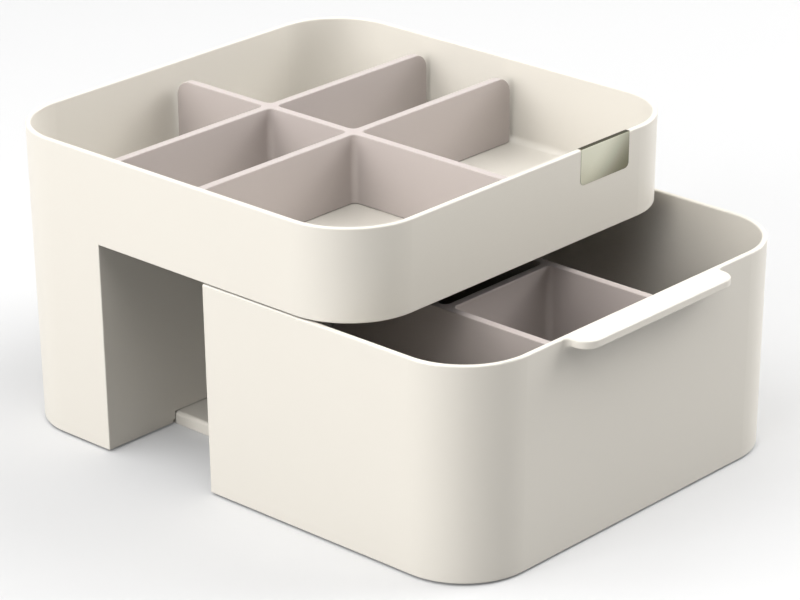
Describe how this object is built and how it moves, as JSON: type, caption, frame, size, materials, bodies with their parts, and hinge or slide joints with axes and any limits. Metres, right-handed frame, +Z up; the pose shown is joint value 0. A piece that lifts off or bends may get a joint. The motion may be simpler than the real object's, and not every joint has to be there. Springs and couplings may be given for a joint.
{
  "type": "cosmetics organizer with drawer",
  "caption": "Desktop cosmetics organizer: an open divided tray on a rear leg, with a divided drawer that slides out from under the tray by a finger lip.",
  "frame": {"origin": "on the table, below the middle of the object's box, with the drawer open as it stands", "axes": "+X to the right along the front, +Y from the front to the back, +Z up"},
  "size_m": [0.175, 0.2341, 0.1139],
  "materials": {
    "shell": "satin moulded ivory",
    "divider": "satin moulded mauve grey",
    "foot": "soft grey rubber",
    "glide": "waxy low-friction",
    "badge": "satin nickel",
    "screw": "zinc plated"
  },
  "bodies": {
    "casing": {"casing": "shell", "base_plate": "shell", "casing_foot_front_left": "foot", "casing_foot_front_right": "foot", "casing_foot_rear_left": "foot", "casing_foot_rear_right": "foot", "base_screw_front_left": "screw", "base_screw_front_right": "screw", "base_screw_rear_left": "screw", "base_screw_rear_right": "screw", "badge": "badge"},
    "drawer": {"drawer": "shell", "drawer_glide_front_left": "glide", "drawer_glide_front_right": "glide", "drawer_glide_rear_left": "glide", "drawer_glide_rear_right": "glide", "drawer_divider": "divider"},
    "tray_divider": {"tray_divider": "divider"}
  },
  "joints": [
    {"name": "drawer_slide", "type": "slide", "parent": "casing", "child": "drawer", "axis": [0, -1, 0], "range_m": [-0.0507, 0.045]},
    {"name": "tray_divider_lift", "type": "slide", "parent": "casing", "child": "tray_divider", "axis": [0, 0, 1], "range_m": [0, 0.045]}
  ]
}
